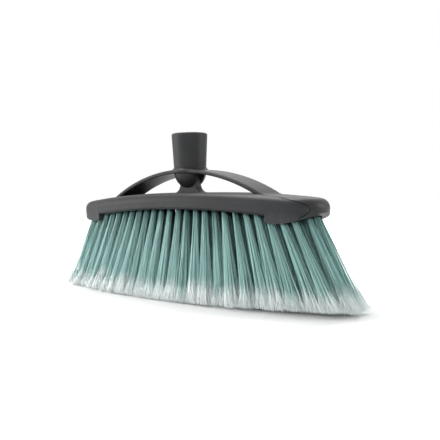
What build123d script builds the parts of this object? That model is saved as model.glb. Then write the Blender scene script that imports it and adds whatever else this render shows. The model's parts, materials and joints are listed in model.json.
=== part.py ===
"""Wide floor broom head: a bow with the handle socket, seated over a crowned block that carries fanned tufts."""

import os
from math import atan, cos, degrees, sin, sqrt

from build123d import *

# Driving dimensions in millimetres. The bristle tips stand on Z = 0, X runs along the head and -Y is its front.

# Block: a bowed plan with round ends, a crowned deck and an arched underside
block_length = 291.0  # at the deck, before its edge is rounded
block_depth = 66.0
block_end_radius = 25.5
bristle_reach = 83.2  # floor to the underside, at the middle
wall_height = 14.8  # underside to deck, at the middle
deck_sag = 5.9  # fall of the deck from the middle to the centres of the round ends
deck_round = 8.0
underside_sag = 5.7  # fall of the underside towards the skirts
lip_chamfer = 1.8

# Skirts: the deeper walls round each end
skirt_length = 41.5
skirt_drop = 6.4
skirt_flat = 9.0  # level stretch before the lower edge rises
skirt_lift = 9.0  # rise of the lower edge at the end
skirt_round = 4.0

# Tongue: the flared web in the middle of the deck
tongue_width = 19.4
tongue_foot = 34.5
tongue_thickness = 8.0
tongue_rise = 17.6
tongue_flare = 8.0
tongue_round = 3.0

# Bow: an arched strap, its swollen hub and its inlaid ends
arch_rise = 21.6  # crown of the strap above the deck
foot_length = 51.8  # from where the strap lands to the end of the block
strap_width = 30.5
strap_thickness = 3.6
strap_chamfer = 0.9
hub_radius = 18.2
hub_blend = 20.0
landing_round = 24.0
fairing_sink = 0.08  # run-out of the fairings below the strap and the deck

# Noses: the bow's ends, inlaid in the deck and hooked round the ends of the block
nose_width = 43.0
nose_flare = 24.0  # length over which the strap widens to the nose
nose_skin = 3.6
nose_blend = 18.0
hook_thickness = 2.2
hook_reach = 3.6
hook_round = 45.0  # plan radius of the hook's inner edge
leaf_gap = 28.5  # between the points of the front and rear leaf tips, before they are rounded
leaf_height = 7.6  # leaf point below the deck's end
leaf_slope = 0.88  # rise of each leaf edge over its run
leaf_round = 3.5

# Socket: a tapered cup with a ball-shaped, forked foot
socket_height = 33.8  # strap crown to rim
rim_radius = 17.0
rim_chamfer = 0.8
ball_radius = 15.1
ball_drop = 2.7  # ball centre below the strap crown
flare_run = 4.8  # sweep of the socket's wall into the strap
flare_rise = 5.0
flare_inset = 0.8  # from the strap's edge
mouth_radius = 13.2
mouth_depth = 11.0
thread_radius = 10.8
socket_floor = 3.5

# Tufts: rows of strands fanned from arched carrier strips
row_shares = (-0.8, -0.4, 0.0, 0.4, 0.8)  # each row's place across the pocket, as a share of its half depth
row_names = ("front", "front_inner", "middle", "rear_inner", "rear")
side_wall = 5.0
pocket_end_radius = 20.0
carrier_recess = 1.5
carrier_thickness = 5.0
carrier_sag = 4.0
tuft_pitch = 10.5
tuft_edge = 5.2  # last tuft of the middle row to the end of the pocket
outer_row_short = 12.8  # how much sooner the outermost rows end
tuft_grip = 1.2  # strand to tuft centre at the root
tuft_spread = 5.0  # strand to tuft centre at the tip, along the row
tuft_splay = 3.2  # strand to tuft centre at the tip, across the row
strand_sides = 3
strand_root = 0.6  # corner radius of a strand
strand_tip = 0.5
strand_bond = 1.0  # depth of the strands in their carrier
tip_length = 362.5
tip_depth = 81.0

# Anchors: flat staples across the tufts' holes
anchor_length = 4.6
anchor_height = 2.2
anchor_thickness = 0.6

# Clearances
seam = 0.8  # open joint round the noses
fit = 0.3  # between seated faces
carrier_gap = 0.2  # between neighbouring carriers
overrun = 6.0  # cutting bodies past the faces they cut
overturn = 10.0  # degrees by which a turned body runs past the plane that cuts it

# Heights and places that follow
half_length = block_length / 2
half_depth = block_depth / 2
deck_height = bristle_reach + wall_height
end_centre = half_length - block_end_radius
deck_radius = (end_centre**2 + deck_sag**2) / (2 * deck_sag)
side_bow = half_depth - block_end_radius
side_lean = atan(deck_sag / side_bow)
side_turn = 2 * atan(side_bow / (end_centre * cos(side_lean)))
side_radius = end_centre / sin(side_turn) + block_end_radius * cos(side_lean)
end_fall = deck_sag + block_end_radius * sin(side_lean) * sin(side_turn)
skirt_start = half_length - skirt_length
skirt_spring = bristle_reach - underside_sag
skirt_bottom = skirt_spring - skirt_drop
skirt_end = skirt_bottom + skirt_lift
skirt_top = deck_height - end_fall - deck_round - fit
reach = half_length + overrun

crown = deck_height + arch_rise
landing = half_length - foot_length
landing_height = deck_height - deck_radius + sqrt(deck_radius**2 - landing**2)
landing_drop = crown - landing_height
arch_radius = (landing**2 + landing_drop**2) / (2 * landing_drop)
arch_centre = crown - arch_radius
inner_landing = sqrt((arch_radius - strap_thickness) ** 2 - (landing_height - arch_centre) ** 2)
nose_start = inner_landing - nose_skin / 2

end_wall = nose_skin + hook_reach
hook_level = skirt_end + hook_thickness
leaf_point = deck_height - end_fall - leaf_height

ball_centre = crown - ball_drop
flare_edge = ball_radius + flare_run
flare_foot = arch_centre + sqrt(arch_radius**2 - flare_edge**2)
rim_height = crown + socket_height
fork_top = deck_height + tongue_rise + fit
thread_floor = fork_top + socket_floor

pocket_half_length = half_length - end_wall
pocket_half_depth = half_depth - side_wall
carrier_bottom = bristle_reach + carrier_recess
carrier_top = carrier_bottom + carrier_thickness
carrier_radius = (pocket_half_length**2 + carrier_sag**2) / (2 * carrier_sag)
carrier_centre = carrier_top - carrier_radius
middle_row_end = pocket_half_length - tuft_edge
row_half_step = (row_shares[1] - row_shares[0]) / 2
fan_length = (tip_length / 2 - tuft_spread - strand_tip) / middle_row_end
fan_depth = (tip_depth / 2 - tuft_splay - strand_tip) / (row_shares[-1] * pocket_half_depth)


def bow_radius(length, depth, end_radius):
    """Radius of the long arcs of a bowed plan, given its half length, half depth and end radius."""
    centre = length - end_radius
    return (centre**2 + depth**2 - end_radius**2) / (2 * (depth - end_radius))


def bowed_plan(length, depth, end_radius):
    """Bowed plan of the given half length and half depth: two long arcs that run on into round ends."""
    centre = length - end_radius
    lean = centre / (bow_radius(length, depth, end_radius) - end_radius)
    touch = Vector(centre + end_radius * lean, end_radius * sqrt(1 - lean**2))
    with BuildSketch() as plan:
        with BuildLine():
            ThreePointArc((-touch.X, -touch.Y), (0, -depth), (touch.X, -touch.Y))
            ThreePointArc((touch.X, -touch.Y), (length, 0), (touch.X, touch.Y))
            ThreePointArc((touch.X, touch.Y), (0, depth), (-touch.X, touch.Y))
            ThreePointArc((-touch.X, touch.Y), (-length, 0), (-touch.X, -touch.Y))
        make_face()
    return plan.sketch


def head_section(width):
    """Section across the middle of the closed head, from its front wall inwards by the given width."""
    with BuildSketch(Plane.YZ) as section:
        with Locations((-half_depth, deck_height)):
            Rectangle(width, deck_height - skirt_bottom + overrun, align=(Align.MIN, Align.MAX))
        fillet(section.vertices().group_by(Axis.X)[0].sort_by(Axis.Y)[-1], deck_round)
    return section.sketch


def head_form():
    """Closed head: its section turned along each bowed side about a leaning axis, then round each end."""
    side_axis = Axis(
        (0, side_radius * cos(side_lean) - half_depth, deck_height - side_radius * sin(side_lean)),
        (0, sin(side_lean), cos(side_lean)),
    )
    end_axis = Axis((0, block_end_radius - half_depth, 0), (0, 0, 1))
    with BuildPart() as end:
        add(head_section(block_end_radius))
        revolve(axis=end_axis, revolution_arc=90 + overturn)
    with BuildPart() as form:
        add(head_section(half_depth))
        revolve(axis=side_axis, revolution_arc=degrees(side_turn))
        add(end.part.rotate(side_axis, degrees(side_turn)))
        split(bisect_by=Plane.XZ, keep=Keep.TOP)
        mirror(about=Plane.XZ)
        mirror(about=Plane.YZ)
    return form.part


def under_deck(depth):
    """Side view of all that lies below the deck's crown, lowered by the given depth."""
    with BuildSketch() as region:
        with Locations((0, deck_height - deck_radius)):
            Circle(deck_radius - depth)
        with Locations((0, deck_height)):
            Rectangle(2 * reach, 2 * deck_height, mode=Mode.INTERSECT)
    return region.sketch


def leaf_tips(grow):
    """End view of the front and rear leaf tips, grown all round."""
    point = leaf_gap / 2
    run = block_depth
    with BuildSketch(Plane.YZ) as tips:
        with BuildLine():
            Polyline(
                (-point, leaf_point),
                (-point - run, leaf_point + leaf_slope * run),
                (-point - run, leaf_point - leaf_slope * run),
                close=True,
            )
        make_face()
        fillet(tips.vertices().sort_by(Axis.X)[-1], leaf_round)
        if grow:
            offset(amount=grow, kind=Kind.ARC)
        mirror(about=Plane.YZ)
    return tips.sketch


def nose_space(gap):
    """Space of the two noses, with a gap round it: none for the bow, the seam for the block."""
    with BuildSketch() as plan:
        with BuildLine():
            Polyline(
                (nose_start, -strap_width / 2),
                (landing, -strap_width / 2),
                (landing + nose_flare, -nose_width / 2),
                (reach, -nose_width / 2),
                (reach, nose_width / 2),
                (landing + nose_flare, nose_width / 2),
                (landing, strap_width / 2),
                (nose_start, strap_width / 2),
                close=True,
            )
        make_face()
        bends = plan.vertices().filter_by_position(Axis.X, landing, landing + nose_flare)
        fillet(bends, nose_blend)
        if gap:
            offset(amount=gap, kind=Kind.INTERSECTION)
    clearance = fit if gap else 0
    side_inset = nose_skin / 4
    core_plan = bowed_plan(
        half_length - nose_skin - clearance,
        half_depth - side_inset,
        block_end_radius - side_inset,
    )
    with BuildPart() as core:
        with BuildSketch(Plane.XY.offset(hook_level + clearance)):
            add(core_plan)
        extrude(amount=deck_height)
        with BuildSketch(Plane.XZ):
            add(under_deck(nose_skin + clearance))
        extrude(amount=block_depth, both=True, mode=Mode.INTERSECT)
    with BuildPart() as space:
        with BuildSketch():
            add(plan.sketch)
        extrude(amount=deck_height + overrun)
        add(core.part, mode=Mode.SUBTRACT)
        extrude(leaf_tips(seam - gap), amount=reach, mode=Mode.SUBTRACT)
        with Locations((pocket_half_length - clearance, 0, hook_level + clearance)):
            Cylinder(
                hook_round,
                2 * block_depth,
                align=(Align.MAX, Align.CENTER, Align.MAX),
                mode=Mode.SUBTRACT,
            )
        mirror(about=Plane.YZ)
    return space.part


def arch_side(sink):
    """Side view of the strap's arch down into the noses, its upper edge lowered by the given depth."""
    with BuildSketch() as side:
        with Locations((0, arch_centre)):
            Circle(arch_radius - sink)
            Circle(arch_radius - strap_thickness, mode=Mode.SUBTRACT)
        with Locations((0, crown)):
            Rectangle(2 * (landing + nose_flare), 2 * (crown - leaf_point), mode=Mode.INTERSECT)
        add(under_deck(nose_skin), mode=Mode.SUBTRACT)
    return side.sketch


def row_depth(x):
    """Half depth of the pocket's long arc at x."""
    radius = bow_radius(pocket_half_length, pocket_half_depth, pocket_end_radius)
    return sqrt(radius**2 - x**2) - radius + pocket_half_depth


def tuft_roots(share):
    """Evenly spaced tuft centres of one row, as plan positions."""
    row_end = middle_row_end - outer_row_short * (share / row_shares[-1]) ** 2
    count = round(2 * row_end / tuft_pitch)
    places = [row_end * (2 * i / count - 1) for i in range(count + 1)]
    return [(x, share * row_depth(x)) for x in places]


def carrier_surface(x):
    """Height of the carrier's underside at x."""
    return carrier_centre + sqrt((carrier_radius - carrier_thickness) ** 2 - x**2)


def strands(share):
    """Three tapered strands for each tuft of a row, leaning out from the middle of the head."""
    outward = 1 if share > 0 else -1
    solids = []
    for x, y in tuft_roots(share):
        root_height = carrier_surface(x) + strand_bond
        lean = 1 + (fan_depth - 1) * (1 - (x / middle_row_end) ** 2)
        for along, across in ((-1, outward), (1, outward), (0, -outward)):
            root = (x + along * tuft_grip, y + across * tuft_grip)
            tip = (x * fan_length + along * tuft_spread, y * lean + across * tuft_splay)
            with BuildPart() as strand:
                with BuildSketch(Plane.XY.offset(root_height)):
                    with Locations(root):
                        RegularPolygon(strand_root, strand_sides, rotation=90 * outward)
                with BuildSketch():
                    with Locations(tip):
                        RegularPolygon(strand_tip, strand_sides, rotation=90 * outward)
                loft()
            solids.append(strand.part.solid())
    return solids


def anchor_places(share):
    """Top centres of the anchors of one row, just under the carrier's upper face."""
    return [(x, y, carrier_surface(x) + carrier_thickness - fit) for x, y in tuft_roots(share)]


def carrier(share):
    """Arched strip that holds one row of tufts, cut to the pocket and to the row's share of it."""
    near = share - row_half_step
    far = share + row_half_step
    end_depth = row_depth(pocket_half_length)
    with BuildSketch() as band:
        with BuildLine():
            near_arc = ThreePointArc(
                (-pocket_half_length, near * end_depth + carrier_gap / 2),
                (0, near * pocket_half_depth + carrier_gap / 2),
                (pocket_half_length, near * end_depth + carrier_gap / 2),
            )
            far_arc = ThreePointArc(
                (-pocket_half_length, far * end_depth - carrier_gap / 2),
                (0, far * pocket_half_depth - carrier_gap / 2),
                (pocket_half_length, far * end_depth - carrier_gap / 2),
            )
            Line(near_arc @ 0, far_arc @ 0)
            Line(near_arc @ 1, far_arc @ 1)
        make_face()
        add(
            bowed_plan(pocket_half_length - fit, pocket_half_depth - fit, pocket_end_radius - fit),
            mode=Mode.INTERSECT,
        )
    with BuildPart() as strip:
        with BuildSketch(Plane.XZ):
            with Locations((0, carrier_centre)):
                Circle(carrier_radius)
                Circle(carrier_radius - carrier_thickness, mode=Mode.SUBTRACT)
            with Locations((0, carrier_top)):
                Rectangle(2 * reach, 4 * carrier_thickness, mode=Mode.INTERSECT)
        extrude(amount=block_depth, both=True)
        extrude(band.sketch, amount=crown, mode=Mode.INTERSECT)
    return strip.part


os.makedirs("parts", exist_ok=True)

# Outer form of the closed head: the block and both noses together
form = head_form()

with BuildPart() as skirts:
    with BuildSketch(Plane.XZ) as skirt_side:
        with BuildLine():
            rise = TangentArc((skirt_start + skirt_flat, skirt_bottom), (half_length, skirt_end), tangent=(1, 0))
            Polyline(
                rise @ 1,
                (reach, skirt_end),
                (reach, skirt_top),
                (skirt_start, skirt_top),
                (skirt_start, skirt_bottom),
                rise @ 0,
            )
        make_face()
        fillet(skirt_side.vertices().group_by(Axis.Y)[0].sort_by(Axis.X)[0], skirt_round)
        mirror(about=Plane.YZ)
    extrude(amount=block_depth, both=True)
    add(form, mode=Mode.INTERSECT)

with BuildPart() as envelope:
    with BuildSketch(Plane.XZ):
        with BuildLine():
            arch = ThreePointArc((-skirt_start, skirt_spring), (0, bristle_reach), (skirt_start, skirt_spring))
            right_end = TangentArc(arch @ 1, (reach, skirt_end + fit), tangent=arch % 1)
            left_end = TangentArc(arch @ 0, (-reach, skirt_end + fit), tangent=-(arch % 0))
            Polyline(right_end @ 1, (reach, crown), (-reach, crown), left_end @ 1)
        make_face()
    extrude(amount=block_depth, both=True)
    add(form, mode=Mode.INTERSECT)
    underside = envelope.faces().filter_by(GeomType.CYLINDER).sort_by(SortBy.AREA)[-1]
    chamfer(underside.edges().filter_by(Axis.Y, reverse=True), lip_chamfer)
    add(skirts.part)

# Block: the envelope less the noses and the tuft pocket, with the tongue on its deck
with BuildPart() as pocket:
    extrude(bowed_plan(pocket_half_length, pocket_half_depth, pocket_end_radius), amount=crown)
    with BuildSketch(Plane.XZ):
        with Locations((0, carrier_centre)):
            Circle(carrier_radius + fit)
        with Locations((0, carrier_top)):
            Rectangle(2 * reach, 2 * carrier_top, mode=Mode.INTERSECT)
    extrude(amount=block_depth, both=True, mode=Mode.INTERSECT)

with BuildPart() as block:
    add(envelope.part)
    add(nose_space(seam), mode=Mode.SUBTRACT)
    add(pocket.part, mode=Mode.SUBTRACT)
    with BuildSketch(Plane.XZ) as tongue:
        with BuildLine():
            flare = TangentArc(
                (tongue_width / 2, deck_height + tongue_flare),
                (tongue_foot / 2, deck_height),
                tangent=(0, -1),
            )
            Polyline(
                flare @ 0,
                (tongue_width / 2, deck_height + tongue_rise),
                (0, deck_height + tongue_rise),
                (0, carrier_top + carrier_thickness / 2),
                (tongue_foot / 2, carrier_top + carrier_thickness / 2),
                flare @ 1,
            )
        make_face()
        fillet(tongue.vertices().group_by(Axis.Y)[-1].sort_by(Axis.X)[-1], tongue_round)
        mirror(about=Plane.YZ)
    extrude(amount=tongue_thickness / 2, both=True)
block.part.label = "block"
export_step(block.part, "parts/block.step")

# Bow: strap with its hub, socket with its forked ball, and the noses
with BuildSketch() as strap_plan:
    Rectangle(2 * reach, strap_width)
    Circle(hub_radius)
    waists = strap_plan.vertices().filter_by_position(Axis.X, -hub_radius, hub_radius)
    fillet(waists, hub_blend)

with BuildPart() as strap:
    with BuildSketch(Plane.XZ):
        add(arch_side(0))
    extrude(amount=block_depth, both=True)
    extrude(strap_plan.sketch, amount=2 * crown, mode=Mode.INTERSECT)
    long_edges = strap.edges().filter_by(Axis.Y, reverse=True).filter_by(Axis.Z, reverse=True)
    chamfer(long_edges.filter_by_position(Axis.Z, landing_height, crown + fit), strap_chamfer)

with BuildPart() as fairings:
    with BuildSketch(Plane.XZ) as fairing_side:
        add(under_deck(fairing_sink))
        with Locations((0, deck_height)):
            Rectangle(2 * (landing + nose_flare), 2 * deck_height, mode=Mode.INTERSECT)
            Rectangle(2 * nose_start, 4 * deck_height, mode=Mode.SUBTRACT)
        add(arch_side(fairing_sink))
        add(under_deck(nose_skin), mode=Mode.SUBTRACT)
        landings = fairing_side.vertices().filter_by(lambda v: abs(abs(v.X) - landing) < fit)
        fillet(landings, landing_round)
        with Locations((0, crown)):
            Rectangle(2 * inner_landing, 2 * crown, mode=Mode.SUBTRACT)
    extrude(amount=strap_width / 2 - strap_chamfer - fit, both=True)

with BuildPart() as flare:
    with BuildSketch(Plane.XZ):
        with BuildLine():
            sweep_arc = TangentArc(
                (ball_radius, flare_foot + flare_rise),
                (flare_edge, flare_foot),
                tangent=(0, -1),
            )
            Polyline(
                sweep_arc @ 1,
                (flare_edge, flare_foot - strap_thickness / 2),
                (0, flare_foot - strap_thickness / 2),
                (0, flare_foot + flare_rise),
                sweep_arc @ 0,
            )
        make_face()
    revolve(axis=Axis.Z)
    with BuildSketch():
        add(strap_plan.sketch)
        offset(amount=-flare_inset)
    extrude(amount=2 * crown, mode=Mode.INTERSECT)

with BuildPart() as socket:
    with BuildSketch(Plane.XZ):
        with BuildLine():
            ball = CenterArc((0, ball_centre), ball_radius, -90, 90)
            Polyline(ball @ 1, (rim_radius, rim_height), (0, rim_height), ball @ 0)
        make_face()
    revolve(axis=Axis.Z)

with BuildPart() as bow:
    add(nose_space(0))
    add(envelope.part, mode=Mode.INTERSECT)
    for piece in (strap, fairings, flare, socket):
        add(piece.part)
    with Locations((0, 0, fork_top)):
        Box(
            2 * ball_radius,
            tongue_thickness + 2 * fit,
            arch_rise,
            align=(Align.CENTER, Align.CENTER, Align.MAX),
            mode=Mode.SUBTRACT,
        )
    with Locations((0, 0, rim_height)):
        CounterBoreHole(thread_radius, mouth_radius, mouth_depth, rim_height - thread_floor)
    chamfer(bow.edges().group_by(Axis.Z)[-1], rim_chamfer)
bow.part.label = "bow"
export_step(bow.part, "parts/bow.step")

# Tuft rows: each carrier with its strands, and the anchors pressed into its upper face
for share, row in zip(row_shares, row_names):
    with BuildPart() as tufts:
        add(carrier(share))
        add(strands(share))
        with Locations(*anchor_places(share)):
            Box(anchor_length, anchor_thickness, 2 * anchor_height, mode=Mode.SUBTRACT)
    tufts.part.label = "tufts_" + row
    export_step(tufts.part, "parts/tufts_" + row + ".step")

    with BuildPart() as anchors:
        with Locations(*anchor_places(share)):
            Box(
                anchor_length,
                anchor_thickness,
                anchor_height,
                align=(Align.CENTER, Align.CENTER, Align.MAX),
            )
    anchors.part.label = "anchors_" + row
    export_step(anchors.part, "parts/anchors_" + row + ".step")
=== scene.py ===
"""Looks of the broom head: split-end bristles, plastic, the socket's thread, floor, light and camera."""

import json
import math

import bpy
import numpy as np
from mathutils import Matrix, Vector


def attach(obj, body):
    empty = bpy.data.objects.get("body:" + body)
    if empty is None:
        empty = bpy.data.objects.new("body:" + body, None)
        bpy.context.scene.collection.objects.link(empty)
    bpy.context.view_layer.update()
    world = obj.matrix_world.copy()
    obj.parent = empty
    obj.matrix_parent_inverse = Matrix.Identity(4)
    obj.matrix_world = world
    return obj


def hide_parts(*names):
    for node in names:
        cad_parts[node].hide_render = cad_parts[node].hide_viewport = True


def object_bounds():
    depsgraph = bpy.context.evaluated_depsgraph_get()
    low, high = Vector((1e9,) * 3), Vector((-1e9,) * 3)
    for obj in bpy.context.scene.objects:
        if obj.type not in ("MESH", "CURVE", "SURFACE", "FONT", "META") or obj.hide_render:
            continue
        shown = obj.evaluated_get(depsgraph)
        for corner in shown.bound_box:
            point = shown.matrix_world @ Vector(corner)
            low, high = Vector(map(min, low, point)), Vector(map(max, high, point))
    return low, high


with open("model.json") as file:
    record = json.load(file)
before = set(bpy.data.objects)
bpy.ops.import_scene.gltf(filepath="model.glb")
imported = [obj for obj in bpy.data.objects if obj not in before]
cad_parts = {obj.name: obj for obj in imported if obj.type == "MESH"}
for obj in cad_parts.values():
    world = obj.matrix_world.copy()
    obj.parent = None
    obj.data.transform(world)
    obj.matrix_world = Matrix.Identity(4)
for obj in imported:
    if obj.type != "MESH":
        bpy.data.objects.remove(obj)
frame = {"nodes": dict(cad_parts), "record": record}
cad_low, cad_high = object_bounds()
nodes = frame["nodes"]
rng = np.random.default_rng(7)

# Sizes are in metres, angles in degrees and colours linear
ROWS = ("front", "front_inner", "middle", "rear_inner", "rear")
ANCHOR_LENGTH = 0.0052  # no anchor is longer along X, and the next one lies further away
LEVEL = np.array([1, 1, 0])  # keeps a shift level

# Next row inward of each row, and the share of the pitch by which each tuft that stands
# between the two is nearer to the head's middle than a tuft of the outer row
NEXT_INWARD = {
    "front": ("front_inner", 0.25),
    "front_inner": ("middle", 0.75),
    "rear_inner": ("middle", 0.42),
    "rear": ("rear_inner", 0.66),
}

# Filaments: straight, gathered in the tuft's hole and fanned towards the floor
FILAMENTS_PER_TUFT = 64
FILAMENT_STEPS = 6
FILAMENT_RADIUS = 0.00030
FILAMENT_TAPER = 0.3
FILAMENT_BOW = 0.0005
ROOT_DEPTH = 0.0030  # filament roots below the anchors' middle
TUFT_ROOT_RADIUS = 0.0022
TUFT_TIP_RADIUS = 0.0072
TUFT_FLARE_POWER = 1.35  # above 1 a tuft stays gathered for longer
TUFT_LEAN = 0.0010
DISC_JITTER = 0.06  # share of a tuft's radius
TUBE_SIDES = 3
TUBE_REFERENCE = (0.31, 0.95, 0.05)  # a direction that no filament runs along

# Tips: uneven, and along a shallow crown
TIP_WANDER = 0.0013
TIP_UNEVEN = 0.0007
TIP_UNEVEN_SHAPE = 1.3  # above 1 few filaments reach the very bottom
EDGE_LIFT = 0.0005  # the outermost filaments end this far above the floor
EDGE_POWER = 6
END_TIP_REACH = 0.167  # no tuft's tip stands further along X
CROWN_LIFT = 0.0062  # the outer tips at the right end stand this far above the floor
CROWN_LOWEST = -0.040  # along X, where the tips are lowest
CROWN_INNER = 0.3  # how much of that rise the innermost tips share
CROWN_POWER = 2

# Split ends: fine hairs that each filament frays into
SPLIT_SHARE = 0.20
SPLIT_VARIES = (0.7, 1.1)
SPLIT_HAIRS = 4
HAIR_STEPS = 4
HAIR_RADIUS = 0.00016
HAIR_SPREAD = 0.0024
HAIR_SPREAD_POWER = 1.3  # above 1 a hair leaves its filament gently
HAIR_CRIMP = 0.0004

# Tint of a filament, from 0 for the darkest to 1 for the palest
MIDDLE_TINT = 0.5
TUFT_TINT_SPREAD = 0.05
FILAMENT_TINT_SPREAD = 0.19
HAIR_TINT = 0.45  # how much of its filament's tint a hair shows
HAIR_TINT_POWER = 4  # above 1 a filament keeps its own tint for longer
TUFT_FADE_SPREAD = 0.022  # how far the colours shift along a filament, tuft by tuft
FILAMENT_FADE_SPREAD = 0.018

# Painted shade: the tufts further inside are darker, fading out towards their tips and the head's ends
ROW_PAINTED_SHADE = {"front": 0.0, "front_inner": 0.45, "middle": 0.55, "rear_inner": 0.45, "rear": 0.0}
BETWEEN_PAINTED_SHADE = 0.60
PAINTED_SHADE_END_POWER = 6
PAINTED_SHADE_TIP_POWER = 2

# Colours along a filament from root to tip, and the tints that vary them and carry the painted shade
FILAMENT_SPECULAR = 0.3
FILAMENT_ROUGHNESS = (0.36, 0.60)
STREAK_SCALE = 900.0
STREAK_DETAIL = 2.0
# Darker towards the roots: painted shade under the block; the pale tips are the split ends' own colour
FILAMENT_COLOURS_AND_ROOT_SHADE = [
    (0.00, (0.115, 0.220, 0.207)),
    (0.18, (0.208, 0.372, 0.352)),
    (0.45, (0.265, 0.465, 0.440)),
    (0.77, (0.285, 0.490, 0.465)),
    (0.84, (0.560, 0.700, 0.682)),
    (0.91, (0.765, 0.850, 0.838)),
    (1.00, (0.800, 0.870, 0.862)),
]
STRAND_TINTS_AND_PAINTED_SHADE = [
    (0.0, (0.24, 0.28, 0.27)),
    (0.5, (1.00, 1.00, 1.00)),
    (1.0, (1.75, 1.50, 1.55)),
]

# Plastic: dark and light of the flow marks, grain and worn edges
BOW_COLOURS = ((0.018, 0.0183, 0.0192), (0.025, 0.0255, 0.0266))
BOW_ROUGHNESS = (0.38, 0.48)
BLOCK_COLOURS = ((0.020, 0.0203, 0.0213), (0.028, 0.0285, 0.0298))
BLOCK_ROUGHNESS = (0.40, 0.50)
PLASTIC_SPECULAR = 0.16
FLOW_SCALE = 38.0
FLOW_DETAIL = 4.0
FLOW_STOPS = (0.3, 0.72)
GRAIN_SCALE = 2600.0
GRAIN_DETAIL = 2.0
GRAIN_STRENGTH = 0.22
GRAIN_HEIGHT = 0.0002
WEAR_POINTINESS = (0.53, 0.66)  # where wear starts, and where it is full
WEAR_MOST = 0.35
WEAR_LIGHTER = 3.0

# Steel wire of the anchors
WIRE_COLOURS = [(0.3, (0.42, 0.43, 0.44)), (0.7, (0.66, 0.67, 0.68))]
WIRE_ROUGHNESS = (0.25, 0.45)
WIRE_MARKS = (200.0, 4000.0, 4000.0)  # marks for each metre, long ones along X

# Tuft plate: the underside that the tufts come out of
PLATE_THICKNESS = 0.0046
PLATE_END_RADIUS = 0.0196
PLATE_STATIONS = 72
PLATE_LAST_STATION = 0.497  # the plate would end in a point at 0.5
PLATE_LANES = 8
HOLE_RADIUS = 0.0026
HOLE_WALL = 0.0004
HOLE_SIDES = 14
HOLE_START = 2  # plate thicknesses below the plate's top
HOLE_LENGTH = 3  # plate thicknesses

# Socket thread
THREAD_PITCH = 0.0045
THREAD_HEIGHT = 0.0011
THREAD_ROOT_WIDTH = 0.0030
THREAD_CREST_WIDTH = 0.0012
THREAD_SINK = 0.0002
THREAD_TURN_STEPS = 48
THREAD_FADE_STEPS = 10
THREAD_LEAST = 0.05  # share of the height that is left at the ends

# Camera of the photograph
CAMERA_AZIMUTH = 42.58
CAMERA_DISTANCE = 0.53943
CAMERA_HEIGHT = 0.09384
CAMERA_YAW = -2.90
CAMERA_PITCH = 2.40
CAMERA_ROLL = -1.16
CAMERA_LENS_MM = 46.31
CAMERA_SENSOR_MM = 36.0

# Surroundings
WORLD_LIGHT = 0.15
FLOOR_HALF = 6.0
FLOOR_TONE = 0.78
FLOOR_SQUEEZE = (0.35, 1.0, 1.0)  # distances along X count for less, as the head is long
FLOOR_KEPT = 0.09  # the floor keeps its tone up to here
FLOOR_WHITE = 0.45  # and is plain white from here


# Mesh helpers

def mesh_object(name, vertices, faces, smooth=True):
    """Object from an array of points and an array of faces that all have the same number of corners."""
    mesh = bpy.data.meshes.new(name)
    corners = faces.shape[1]
    mesh.vertices.add(len(vertices))
    mesh.vertices.foreach_set("co", np.asarray(vertices, np.float32).ravel())
    mesh.loops.add(faces.size)
    mesh.loops.foreach_set("vertex_index", faces.astype(np.int32).ravel())
    mesh.polygons.add(len(faces))
    mesh.polygons.foreach_set("loop_start", np.arange(0, faces.size, corners, dtype=np.int32))
    mesh.polygons.foreach_set("use_smooth", np.full(len(faces), smooth))
    mesh.update(calc_edges=True)
    mesh.validate()
    made = bpy.data.objects.new(name, mesh)
    bpy.context.scene.collection.objects.link(made)
    return made


def point_values(obj, name, values):
    """Stores one number for each point of the object's mesh, for its material to read."""
    layer = obj.data.attributes.new(name, "FLOAT", "POINT")
    layer.data.foreach_set("value", np.asarray(values, np.float32))


def corner_angles(sides):
    """Angles of the corners of a regular polygon."""
    return 2 * math.pi * np.arange(sides) / sides


def skin(rings):
    """Faces of closed tubes whose rings of points are given as (tube, step, corner, xyz)."""
    count, steps, sides, _ = rings.shape
    index = np.arange(count * steps * sides).reshape(count, steps, sides)
    near = index[:, :-1]
    far = index[:, 1:]
    near_next = np.roll(near, -1, axis=2)
    far_next = np.roll(far, -1, axis=2)
    faces = [np.stack([near, near_next, far_next], -1), np.stack([near, far_next, far], -1)]
    for corner in range(1, sides - 1):
        faces.append(index[:, 0][:, [0, corner + 1, corner]])
        faces.append(index[:, -1][:, [0, corner, corner + 1]])
    return np.concatenate([group.reshape(-1, 3) for group in faces])


def tubes(paths, radii):
    """Closed tubes along many paths at once: paths is (tube, step, xyz) and radii (tube, step)."""
    along = np.gradient(paths, axis=1)
    along /= np.linalg.norm(along, axis=2, keepdims=True)
    side = np.cross(along, np.array(TUBE_REFERENCE))
    side /= np.linalg.norm(side, axis=2, keepdims=True)
    other = np.cross(along, side)
    turns = corner_angles(TUBE_SIDES)
    ring = side[:, :, None] * np.cos(turns)[:, None] + other[:, :, None] * np.sin(turns)[:, None]
    rings = paths[:, :, None] + ring * radii[:, :, None, None]
    return rings.reshape(-1, 3), skin(rings)


# Materials

def new_material(name):
    """Empty node material with its output."""
    material = bpy.data.materials.new(name)
    material.use_nodes = True
    tree = material.node_tree
    tree.nodes.clear()
    return material, tree, tree.nodes.new("ShaderNodeOutputMaterial")


def colour_ramp(tree, stops):
    """Colour ramp node with the given (position, colour) stops."""
    ramp = tree.nodes.new("ShaderNodeValToRGB")
    elements = ramp.color_ramp.elements
    while len(elements) < len(stops):
        elements.new(0.5)
    for element, (position, colour) in zip(elements, stops):
        element.position = position
        element.color = (*colour, 1.0)
    return ramp


def noise(tree, scale, detail):
    """Noise texture laid over the object's own space."""
    place = tree.nodes.new("ShaderNodeTexCoord")
    texture = tree.nodes.new("ShaderNodeTexNoise")
    texture.inputs["Scale"].default_value = scale
    texture.inputs["Detail"].default_value = detail
    tree.links.new(place.outputs["Object"], texture.inputs["Vector"])
    return texture


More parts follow.
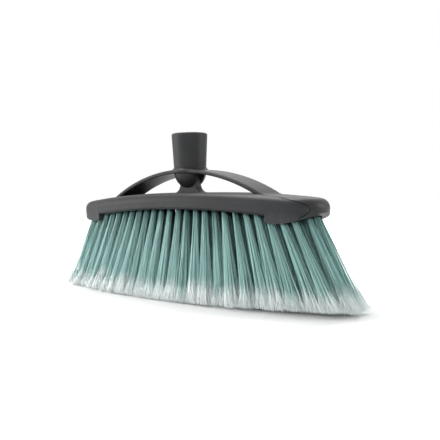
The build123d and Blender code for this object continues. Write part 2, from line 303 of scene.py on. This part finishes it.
def spread(tree, source, limits):
    """Turns a 0 to 1 value into one between two limits."""
    mapped = tree.nodes.new("ShaderNodeMapRange")
    mapped.inputs["To Min"].default_value = limits[0]
    mapped.inputs["To Max"].default_value = limits[1]
    tree.links.new(source, mapped.inputs["Value"])
    return mapped.outputs["Result"]


def plastic(name, colours, roughness):
    """Moulded polypropylene: faint flow marks in its colour, a fine grain and paler worn edges."""
    material, tree, output = new_material(name)
    link = tree.links.new
    shader = tree.nodes.new("ShaderNodeBsdfPrincipled")
    shader.inputs["Specular IOR Level"].default_value = PLASTIC_SPECULAR
    flow = noise(tree, FLOW_SCALE, FLOW_DETAIL)
    grain = noise(tree, GRAIN_SCALE, GRAIN_DETAIL)
    tint = colour_ramp(tree, list(zip(FLOW_STOPS, colours)))
    edge = tree.nodes.new("ShaderNodeNewGeometry")
    wear = tree.nodes.new("ShaderNodeMapRange")
    wear.inputs["From Min"].default_value = WEAR_POINTINESS[0]
    wear.inputs["From Max"].default_value = WEAR_POINTINESS[1]
    wear.inputs["To Max"].default_value = WEAR_MOST
    worn = tree.nodes.new("ShaderNodeMix")
    worn.data_type = "RGBA"
    worn.inputs["B"].default_value = (*[WEAR_LIGHTER * channel for channel in colours[1]], 1.0)
    bump = tree.nodes.new("ShaderNodeBump")
    bump.inputs["Strength"].default_value = GRAIN_STRENGTH
    bump.inputs["Distance"].default_value = GRAIN_HEIGHT
    link(flow.outputs["Fac"], tint.inputs["Fac"])
    link(edge.outputs["Pointiness"], wear.inputs["Value"])
    link(wear.outputs["Result"], worn.inputs["Factor"])
    link(tint.outputs["Color"], worn.inputs["A"])
    link(worn.outputs["Result"], shader.inputs["Base Color"])
    link(spread(tree, flow.outputs["Fac"], roughness), shader.inputs["Roughness"])
    link(grain.outputs["Fac"], bump.inputs["Height"])
    link(bump.outputs["Normal"], shader.inputs["Normal"])
    link(shader.outputs["BSDF"], output.inputs["Surface"])
    return material


def bristle_material():
    """Teal filament, each strand of its own tint, fading to pale split ends, with painted shade at the roots
    and on the tufts further inside.
    """
    material, tree, output = new_material("teal_filament")
    link = tree.links.new
    shader = tree.nodes.new("ShaderNodeBsdfPrincipled")
    shader.inputs["Specular IOR Level"].default_value = FILAMENT_SPECULAR
    along = tree.nodes.new("ShaderNodeAttribute")
    along.attribute_name = "along"
    strand = tree.nodes.new("ShaderNodeAttribute")
    strand.attribute_name = "strand"
    length_tint_and_root_shade = colour_ramp(tree, FILAMENT_COLOURS_AND_ROOT_SHADE)
    strand_tint_and_painted_shade = colour_ramp(tree, STRAND_TINTS_AND_PAINTED_SHADE)
    tinted = tree.nodes.new("ShaderNodeMix")
    tinted.data_type = "RGBA"
    tinted.blend_type = "MULTIPLY"
    tinted.inputs["Factor"].default_value = 1.0
    streak = noise(tree, STREAK_SCALE, STREAK_DETAIL)
    link(along.outputs["Fac"], length_tint_and_root_shade.inputs["Fac"])
    link(strand.outputs["Fac"], strand_tint_and_painted_shade.inputs["Fac"])
    link(length_tint_and_root_shade.outputs["Color"], tinted.inputs["A"])
    link(strand_tint_and_painted_shade.outputs["Color"], tinted.inputs["B"])
    link(tinted.outputs["Result"], shader.inputs["Base Color"])
    link(spread(tree, streak.outputs["Fac"], FILAMENT_ROUGHNESS), shader.inputs["Roughness"])
    link(shader.outputs["BSDF"], output.inputs["Surface"])
    return material


def steel_material():
    """Drawn flat wire of the anchors, with fine marks along it."""
    material, tree, output = new_material("staple_steel")
    link = tree.links.new
    shader = tree.nodes.new("ShaderNodeBsdfPrincipled")
    shader.inputs["Metallic"].default_value = 1.0
    place = tree.nodes.new("ShaderNodeTexCoord")
    stretch = tree.nodes.new("ShaderNodeMapping")
    stretch.inputs["Scale"].default_value = WIRE_MARKS
    marks = tree.nodes.new("ShaderNodeTexNoise")
    marks.inputs["Scale"].default_value = 1.0
    tint = colour_ramp(tree, WIRE_COLOURS)
    link(place.outputs["Object"], stretch.inputs["Vector"])
    link(stretch.outputs["Vector"], marks.inputs["Vector"])
    link(marks.outputs["Fac"], tint.inputs["Fac"])
    link(tint.outputs["Color"], shader.inputs["Base Color"])
    link(spread(tree, marks.outputs["Fac"], WIRE_ROUGHNESS), shader.inputs["Roughness"])
    link(shader.outputs["BSDF"], output.inputs["Surface"])
    return material


def dress(obj, material):
    """Gives an object one material."""
    obj.data.materials.clear()
    obj.data.materials.append(material)


# Tufts

def node_points(name):
    """Points of a CAD node as an array."""
    mesh = nodes[name].data
    points = np.zeros(len(mesh.vertices) * 3, np.float32)
    mesh.vertices.foreach_get("co", points)
    return points.reshape(-1, 3).astype(float)


def box_centres(groups):
    """Centre of the box round each group of points."""
    return np.array([(group.min(0) + group.max(0)) / 2 for group in groups])


def tuft_ends(row):
    """Root and tip of every tuft of a row: its anchor is at the root, and its CAD strands end at the tip."""
    points = [node_points(kind + row) for kind in ("anchors_", "tufts_")]
    anchors, strands = (group[np.argsort(group[:, 0])] for group in points)
    breaks = np.nonzero(np.diff(anchors[:, 0]) > ANCHOR_LENGTH)[0] + 1
    roots = box_centres(np.split(anchors, breaks))
    tips = box_centres(np.array_split(strands[strands[:, 2] < TIP_UNEVEN], len(roots)))
    tips[:, 0] *= min(1, END_TIP_REACH / np.abs(tips[:, 0]).max())
    return roots, tips


def along_row(places, x):
    """Points at the given x on the line through a row's places."""
    y = np.interp(x, places[:, 0], places[:, 1])
    z = np.interp(x, places[:, 0], places[:, 2])
    return np.stack([x, y, z], -1)


def tufts_of(row):
    """Roots and tips of a row's own tufts, then of those with room between it and the next row inward."""
    own = tuft_ends(row)
    if row not in NEXT_INWARD:
        return own
    next_row, share = NEXT_INWARD[row]
    inward = tuft_ends(next_row)
    left = own[0][:-1, 0] + own[0][1:, 0] < 0
    onward = np.where(left, share, 1 - share)[:, None]
    between = []
    for near, far in zip(own, inward):
        part_way = near[:-1] * (1 - onward) + near[1:] * onward
        between.append((part_way + along_row(far, part_way[:, 0])) / 2)
    taken = np.concatenate([own[0], inward[0]])
    apart = np.linalg.norm(between[0][:, None, :2] - taken[:, :2], axis=2).min(1)
    room = apart > 2 * HOLE_RADIUS + HOLE_WALL
    return [np.concatenate([near, extra[room]]) for near, extra in zip(own, between)]


def tuft_painted_shade(row):
    """How much painted shade darkens each of a row's tufts."""
    tips = tufts_of(row)[1]
    own = np.arange(len(tips)) < len(tuft_ends(row)[1])
    near_end = np.abs(tips[:, 0] / END_TIP_REACH) ** PAINTED_SHADE_END_POWER
    return np.where(own, ROW_PAINTED_SHADE[row], BETWEEN_PAINTED_SHADE) * (1 - near_end)


# Bristles

def disc_points(tufts, count):
    """For each tuft, evenly spread points of a unit disc, turned and jittered, as (tuft, point, xy)."""
    order = np.arange(count) + 0.5
    radius = np.sqrt(order / count)
    turn = rng.uniform(0, 2 * math.pi, (tufts, 1))
    angle = order * math.pi * (3 - math.sqrt(5)) + turn
    points = np.stack([radius * np.cos(angle), radius * np.sin(angle)], -1)
    return points + rng.normal(0, DISC_JITTER, points.shape)


def inside_cad(points):
    """Points kept inside the CAD box, a filament's radius from its sides and a hair's from the floor."""
    low = np.array(cad_low) + FILAMENT_RADIUS
    high = np.array(cad_high) - FILAMENT_RADIUS
    low[2] = HAIR_RADIUS
    return np.clip(points, low, high)


def filament_paths(row):
    """Centre lines of a row's filaments from their hole to the floor, as (filament, step, xyz)."""
    roots, tips = tufts_of(row)
    tips = tips + rng.normal(0, TUFT_LEAN, tips.shape) * LEVEL
    disc = disc_points(len(roots), FILAMENTS_PER_TUFT)
    start = np.repeat(roots[:, None], FILAMENTS_PER_TUFT, axis=1)
    start[:, :, 2] -= ROOT_DEPTH
    start[:, :, :2] += disc * TUFT_ROOT_RADIUS
    end = np.repeat(tips[:, None], FILAMENTS_PER_TUFT, axis=1)
    end[:, :, :2] += disc * TUFT_TIP_RADIUS + rng.normal(0, TIP_WANDER, disc.shape)
    outward = np.abs(end[:, :, 1]) / cad_high[1]
    uneven = rng.gamma(TIP_UNEVEN_SHAPE, TIP_UNEVEN, disc.shape[:2])
    end[:, :, 2] = uneven + EDGE_LIFT * outward**EDGE_POWER
    towards_end = (end[:, :, 0] - CROWN_LOWEST) / (END_TIP_REACH - CROWN_LOWEST)
    crown_share = CROWN_INNER + (1 - CROWN_INNER) * outward
    end[:, :, 2] += CROWN_LIFT * towards_end**CROWN_POWER * crown_share
    start = start.reshape(-1, 3)
    end = inside_cad(end.reshape(-1, 3))
    share = np.linspace(0, 1, FILAMENT_STEPS)[None, :, None]
    bow = rng.normal(0, FILAMENT_BOW, (len(start), 1, 3)) * 4 * share * (1 - share)
    gathered = (share**TUFT_FLARE_POWER - share) * (disc.reshape(-1, 1, 2) * TUFT_TIP_RADIUS)
    paths = start[:, None] * (1 - share) + end[:, None] * share + bow
    paths[:, :, :2] += gathered
    return paths


def split_paths(paths):
    """Fine hairs that the filaments' ends split into, each with its places along its filament."""
    owner = np.repeat(np.arange(len(paths)), SPLIT_HAIRS)
    first = 1 - SPLIT_SHARE * rng.uniform(*SPLIT_VARIES, len(owner))
    run = np.linspace(0, 1, HAIR_STEPS)
    share = first[:, None] + (1 - first)[:, None] * run
    place = share * (FILAMENT_STEPS - 1)
    step = np.clip(place.astype(int), 0, FILAMENT_STEPS - 2)
    rest = (place - step)[:, :, None]
    base = paths[owner[:, None], step] * (1 - rest) + paths[owner[:, None], step + 1] * rest
    feather = rng.normal(0, HAIR_SPREAD, (len(owner), 1, 3)) * (run**HAIR_SPREAD_POWER)[None, :, None]
    crimp = rng.normal(0, HAIR_CRIMP, base.shape) * run[None, :, None]
    return inside_cad(base + feather * LEVEL + crimp), share, owner


def build_bristles(row, material):
    """A row's filaments with their split ends, in place of the CAD strands."""
    paths = filament_paths(row)
    hairs, hair_share, owner = split_paths(paths)
    tuft = np.arange(len(paths)) // FILAMENTS_PER_TUFT
    tufts = tuft.max() + 1
    tuft_tint = rng.normal(0, TUFT_TINT_SPREAD, tufts)
    tint = rng.normal(MIDDLE_TINT, FILAMENT_TINT_SPREAD, len(paths)) + tuft_tint[tuft]
    tuft_fade = rng.normal(0, TUFT_FADE_SPREAD, tufts)
    fade = tuft_fade[tuft] + rng.normal(0, FILAMENT_FADE_SPREAD, len(paths))

    share = np.tile(np.linspace(0, 1, FILAMENT_STEPS), (len(paths), 1))
    hair_run = np.tile(np.linspace(0, 1, HAIR_STEPS), (len(hairs), 1))
    points, faces = tubes(paths, FILAMENT_RADIUS * (1 - FILAMENT_TAPER * share))
    hair_points, hair_faces = tubes(hairs, HAIR_RADIUS * (1 - FILAMENT_TAPER * hair_run))
    vertices = np.concatenate([points, hair_points])
    vertices[:, 2] = np.maximum(vertices[:, 2], 0)
    all_faces = np.concatenate([faces, hair_faces + len(points)])
    made = mesh_object("bristles_" + row, vertices, all_faces)

    along = np.concatenate([(share + fade[:, None]).ravel(), (hair_share + fade[owner, None]).ravel()])
    point_values(made, "along", np.repeat(np.clip(along, 0, 1), TUBE_SIDES))
    own_tint = 1 - (1 - HAIR_TINT) * share**HAIR_TINT_POWER
    fading = MIDDLE_TINT + (tint - MIDDLE_TINT)[:, None] * own_tint
    # Painted shade: tufts further inside get a darker tint towards their roots
    tint_with_painted_shade = fading - tuft_painted_shade(row)[tuft, None] * (1 - share**PAINTED_SHADE_TIP_POWER)
    hair_tint = MIDDLE_TINT + (tint[owner] - MIDDLE_TINT) * HAIR_TINT
    strand = np.concatenate([tint_with_painted_shade.ravel(), np.repeat(hair_tint, HAIR_STEPS)])
    point_values(made, "strand", np.repeat(np.clip(strand, 0, 1), TUBE_SIDES))

    dress(made, material)
    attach(made, "root")
    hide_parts("tufts_" + row)


# Tuft plate

def plate_half_depth(x, length, depth):
    """Half depth of the plate's bowed plan at x: a long arc that runs on into round ends."""
    centre = length - PLATE_END_RADIUS
    bow = (centre**2 + depth**2 - PLATE_END_RADIUS**2) / (2 * (depth - PLATE_END_RADIUS))
    touch = centre * bow / (bow - PLATE_END_RADIUS)
    long_arc = np.sqrt(bow**2 - np.minimum(np.abs(x), touch) ** 2) - bow + depth
    end_arc = np.sqrt(np.maximum(PLATE_END_RADIUS**2 - (np.abs(x) - centre) ** 2, 0))
    return np.where(np.abs(x) < touch, long_arc, end_arc)


def anchor_tops(anchors, roots):
    """Height of the top of the anchor at each root."""
    tops = []
    for root in roots:
        apart = np.hypot(*(anchors - root)[:, :2].T)
        tops.append(anchors[apart < ANCHOR_LENGTH, 2].max())
    return np.array(tops)


def hole_cutters(height):
    """One upright cylinder through the plate for each tuft; height gives the plate's top at x."""
    turns = corner_angles(HOLE_SIDES)
    circle = HOLE_RADIUS * np.stack([np.cos(turns), np.sin(turns), 0 * turns], -1)
    holes = np.concatenate([tufts_of(row)[0] for row in ROWS])
    bottoms = np.column_stack([holes[:, :2], height(holes[:, 0]) - HOLE_START * PLATE_THICKNESS])
    rises = np.array([0, HOLE_LENGTH * PLATE_THICKNESS])[None, :, None, None] * np.array([0, 0, 1])
    rings = bottoms[:, None, None] + rises + circle
    return mesh_object("tuft_holes", rings.reshape(-1, 3), skin(rings))


def cut_holes(plate, holes):
    """Cuts the tufts' holes out of the plate."""
    cutter = plate.modifiers.new("holes", "BOOLEAN")
    cutter.operation = "DIFFERENCE"
    cutter.object = holes
    cutter.solver = "EXACT"
    cut = plate.evaluated_get(bpy.context.evaluated_depsgraph_get())
    mesh = bpy.data.meshes.new_from_object(cut)
    plate.modifiers.clear()
    plate.data = mesh
    bpy.data.objects.remove(holes)


def build_tuft_plate(material):
    """Arched underside of the block with a hole for each tuft, its top level with the anchors' tops."""
    carriers = np.concatenate([node_points("tufts_" + row) for row in ROWS])
    roots = np.concatenate([tuft_ends(row)[0] for row in ROWS])
    anchors = np.concatenate([node_points("anchors_" + row) for row in ROWS])
    carriers = carriers[carriers[:, 2] > anchors[:, 2].min()]
    length = np.abs(carriers[:, 0]).max()
    depth = np.abs(carriers[:, 1]).max()
    height = np.polynomial.Polynomial.fit(roots[:, 0], anchor_tops(anchors, roots), 2)
    stations = np.linspace(-PLATE_LAST_STATION, PLATE_LAST_STATION, PLATE_STATIONS)
    x = length * np.sin(stations * math.pi)
    across = np.outer(np.linspace(-1, 1, PLATE_LANES), plate_half_depth(x, length, depth))
    upper = np.stack([np.tile(x, (PLATE_LANES, 1)), across, np.tile(height(x), (PLATE_LANES, 1))], -1)
    lower = upper - [0, 0, PLATE_THICKNESS]
    rings = np.concatenate([lower, upper[::-1]]).transpose(1, 0, 2)[None]
    plate = mesh_object("tuft_plate", rings.reshape(-1, 3), skin(rings), smooth=False)
    cut_holes(plate, hole_cutters(height))
    dress(plate, material)
    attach(plate, "root")


# Socket thread

def build_thread(material):
    """Helical ridge on the wall of the socket's bore, fading out at both ends."""
    mount = next(m for m in frame["record"]["mounts"] if m["name"] == "handle_thread")
    bore = mount["dims"]["r_mm"] / 1000
    length = mount["dims"]["length_mm"] / 1000 - THREAD_ROOT_WIDTH
    low = mount["pos_m"][2] - length / 2
    steps = int(length / THREAD_PITCH * THREAD_TURN_STEPS) + 1
    order = np.arange(steps)
    angle = 2 * math.pi * order / THREAD_TURN_STEPS
    middle = low + THREAD_PITCH * order / THREAD_TURN_STEPS
    fade = np.clip(np.minimum(order, order[::-1]) / THREAD_FADE_STEPS, THREAD_LEAST, 1)
    outer = bore + THREAD_SINK
    inner = bore - THREAD_HEIGHT * fade
    corners = [
        (outer, middle - THREAD_ROOT_WIDTH / 2),
        (outer, middle + THREAD_ROOT_WIDTH / 2),
        (inner, middle + THREAD_CREST_WIDTH / 2),
        (inner, middle - THREAD_CREST_WIDTH / 2),
    ]
    edges = [np.stack([r * np.cos(angle), r * np.sin(angle), z], -1) for r, z in corners]
    rings = np.stack(edges, 1)[None]
    made = mesh_object("socket_thread", rings.reshape(-1, 3), skin(rings), smooth=False)
    dress(made, material)
    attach(made, "root")


# Scene

def aim_camera():
    """Camera where the photograph was taken from."""
    azimuth, pitch, roll = (math.radians(angle) for angle in (CAMERA_AZIMUTH, CAMERA_PITCH, CAMERA_ROLL))
    heading = azimuth + math.radians(CAMERA_YAW)
    forward = Vector(
        (-math.sin(heading) * math.cos(pitch), math.cos(heading) * math.cos(pitch), -math.sin(pitch))
    )
    right = Vector((math.cos(heading), math.sin(heading), 0))
    up = right.cross(forward)
    rolled_right = math.cos(roll) * right + math.sin(roll) * up
    rolled_up = math.cos(roll) * up - math.sin(roll) * right
    camera = bpy.data.cameras.new("camera")
    camera.lens = CAMERA_LENS_MM
    camera.sensor_width = CAMERA_SENSOR_MM
    holder = bpy.data.objects.new("camera", camera)
    turn = Matrix((rolled_right, rolled_up, -forward)).transposed().to_4x4()
    place = Vector(
        (CAMERA_DISTANCE * math.sin(azimuth), -CAMERA_DISTANCE * math.cos(azimuth), CAMERA_HEIGHT)
    )
    holder.matrix_world = Matrix.Translation(place) @ turn
    bpy.context.scene.collection.objects.link(holder)
    bpy.context.scene.camera = holder


def softbox(name, place, target, size, power, mirrored=True):
    """Rectangular area lamp aimed at a point, which shows in reflections unless mirrored is off."""
    lamp = bpy.data.lights.new(name, "AREA")
    lamp.shape = "RECTANGLE"
    lamp.size, lamp.size_y = size
    lamp.energy = power
    holder = bpy.data.objects.new(name, lamp)
    holder.location = place
    holder.rotation_euler = (Vector(target) - Vector(place)).to_track_quat("-Z", "Y").to_euler()
    holder.visible_glossy = mirrored
    bpy.context.scene.collection.objects.link(holder)


def seen_directly(tree):
    """1 for rays from the camera, in reflections and through clear things, 0 for the rest."""
    path = tree.nodes.new("ShaderNodeLightPath")
    total = path.outputs["Is Camera Ray"]
    for kind in ("Is Glossy Ray", "Is Transmission Ray"):
        either = tree.nodes.new("ShaderNodeMath")
        either.operation = "MAXIMUM"
        tree.links.new(total, either.inputs[0])
        tree.links.new(path.outputs[kind], either.inputs[1])
        total = either.outputs["Value"]
    return total


def white_world():
    """White where it is seen, dimmer as a light."""
    world = bpy.data.worlds.new("studio")
    world.use_nodes = True
    tree = world.node_tree
    tree.nodes.clear()
    output = tree.nodes.new("ShaderNodeOutputWorld")
    seen = tree.nodes.new("ShaderNodeBackground")
    seen.inputs["Color"].default_value = (1, 1, 1, 1)
    seen.inputs["Strength"].default_value = 1.0
    light = tree.nodes.new("ShaderNodeBackground")
    light.inputs["Color"].default_value = (1, 1, 1, 1)
    light.inputs["Strength"].default_value = WORLD_LIGHT
    mix = tree.nodes.new("ShaderNodeMixShader")
    tree.links.new(seen_directly(tree), mix.inputs["Fac"])
    tree.links.new(light.outputs["Background"], mix.inputs[1])
    tree.links.new(seen.outputs["Background"], mix.inputs[2])
    tree.links.new(mix.outputs["Shader"], output.inputs["Surface"])
    bpy.context.scene.world = world


def floor_material():
    """Pale floor that keeps the head's shadow and turns into plain white away from it."""
    material, tree, output = new_material("pale_floor")
    link = tree.links.new
    matt = tree.nodes.new("ShaderNodeBsdfDiffuse")
    matt.inputs["Color"].default_value = (FLOOR_TONE, FLOOR_TONE, FLOOR_TONE, 1)
    lift = tree.nodes.new("ShaderNodeEmission")
    place = tree.nodes.new("ShaderNodeTexCoord")
    squeeze = tree.nodes.new("ShaderNodeMapping")
    squeeze.inputs["Scale"].default_value = FLOOR_SQUEEZE
    away = tree.nodes.new("ShaderNodeVectorMath")
    away.operation = "LENGTH"
    glow = tree.nodes.new("ShaderNodeMapRange")
    glow.inputs["From Min"].default_value = FLOOR_KEPT
    glow.inputs["From Max"].default_value = FLOOR_WHITE
    both = tree.nodes.new("ShaderNodeAddShader")
    mix = tree.nodes.new("ShaderNodeMixShader")
    link(place.outputs["Object"], squeeze.inputs["Vector"])
    link(squeeze.outputs["Vector"], away.inputs[0])
    link(away.outputs["Value"], glow.inputs["Value"])
    link(glow.outputs["Result"], lift.inputs["Strength"])
    link(matt.outputs["BSDF"], both.inputs[0])
    link(lift.outputs["Emission"], both.inputs[1])
    link(seen_directly(tree), mix.inputs["Fac"])
    link(matt.outputs["BSDF"], mix.inputs[1])
    link(both.outputs["Shader"], mix.inputs[2])
    link(mix.outputs["Shader"], output.inputs["Surface"])
    return material


def build_floor():
    """Square floor at the height of the bristles' lowest tips."""
    corners = FLOOR_HALF * np.array([(-1, -1, 0), (1, -1, 0), (1, 1, 0), (-1, 1, 0)], float)
    floor = mesh_object("floor", corners, np.array([[0, 1, 2, 3]]), smooth=False)
    dress(floor, floor_material())


def light_studio():
    """Soft lamps round the head; the two in front light the bristles and add no sheen to the plastic."""
    softbox("top_light", place=(-0.35, 0.20, 1.10), target=(0, 0, 0), size=(0.9, 0.14), power=17.5)
    softbox("left_light", place=(-1.08, -0.78, 0.40), target=(0, 0, 0.06), size=(0.8, 0.7), power=8.6)
    softbox(
        "front_light",
        place=(-0.50, -1.15, 0.45),
        target=(0, 0, 0.04),
        size=(0.9, 0.30),
        power=7.0,
        mirrored=False,
    )
    softbox(
        "camera_light",
        place=(0.75, -1.00, 0.42),
        target=(0, 0, 0.02),
        size=(0.7, 0.22),
        power=7.2,
        mirrored=False,
    )
    softbox("back_light", place=(-0.75, 1.10, 0.75), target=(0, 0, 0.10), size=(0.7, 0.5), power=0.8)
    softbox("right_light", place=(0.95, 0.65, 0.5), target=(0, 0, 0.08), size=(0.5, 0.7), power=7.0)


bow_plastic = plastic("bow_plastic", BOW_COLOURS, BOW_ROUGHNESS)
block_plastic = plastic("block_plastic", BLOCK_COLOURS, BLOCK_ROUGHNESS)
dress(nodes["bow"], bow_plastic)
dress(nodes["block"], block_plastic)
build_thread(bow_plastic)
build_tuft_plate(block_plastic)
staple_steel = steel_material()
teal_filament = bristle_material()
for row in ROWS:
    dress(nodes["anchors_" + row], staple_steel)
    build_bristles(row, teal_filament)

aim_camera()
white_world()
build_floor()
light_studio()
bpy.context.scene.view_settings.view_transform = "Standard"
